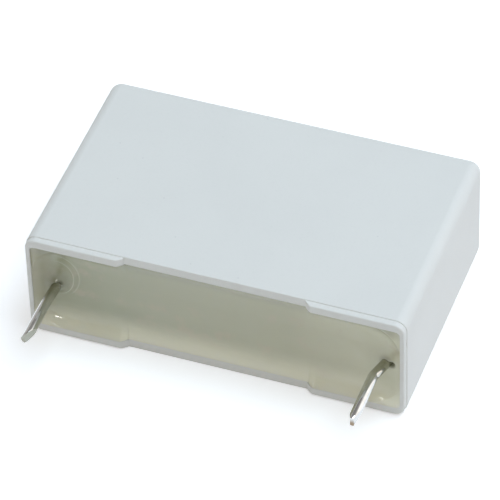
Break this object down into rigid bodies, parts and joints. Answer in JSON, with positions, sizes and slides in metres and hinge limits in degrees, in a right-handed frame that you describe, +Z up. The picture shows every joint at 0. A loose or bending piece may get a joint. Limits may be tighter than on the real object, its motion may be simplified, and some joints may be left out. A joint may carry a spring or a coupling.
{
  "type": "box film capacitor",
  "caption": "Flat plastic box with rounded edges, potted with resin on its open side, with wire leads for a circuit board; stores charge in a rolled film.",
  "frame": {"origin": "midway between the two leads, in the plane that the feet of the case stand on (the board's surface)", "axes": "+X along the lead pitch, +Y from the board to the closed end of the case, so the leads point to -Y; +Z up from the broad face it lies on, which is at z = -5.05 mm"},
  "size_m": [0.032, 0.0266, 0.01],
  "materials": {
    "case": "matte moulded plastic, cold white, faintly grained",
    "potting_resin": "glossy cast resin, greenish beige, slightly translucent",
    "film_roll": "metallised film, silvery",
    "cover_wrap": "plain wound film, milky",
    "end_spray": "sprayed zinc, matte and grainy",
    "lead_left": "tinned copper wire, bright, with a bare cut end",
    "lead_right": "tinned copper wire, bright, with a bare cut end"
  },
  "bodies": {
    "root": {"case": "case", "potting_resin": "potting_resin", "film_roll": "film_roll", "cover_wrap": "cover_wrap", "end_spray_left": "end_spray", "end_spray_right": "end_spray", "lead_left": "lead_left", "lead_right": "lead_right"}
  },
  "joints": []
}
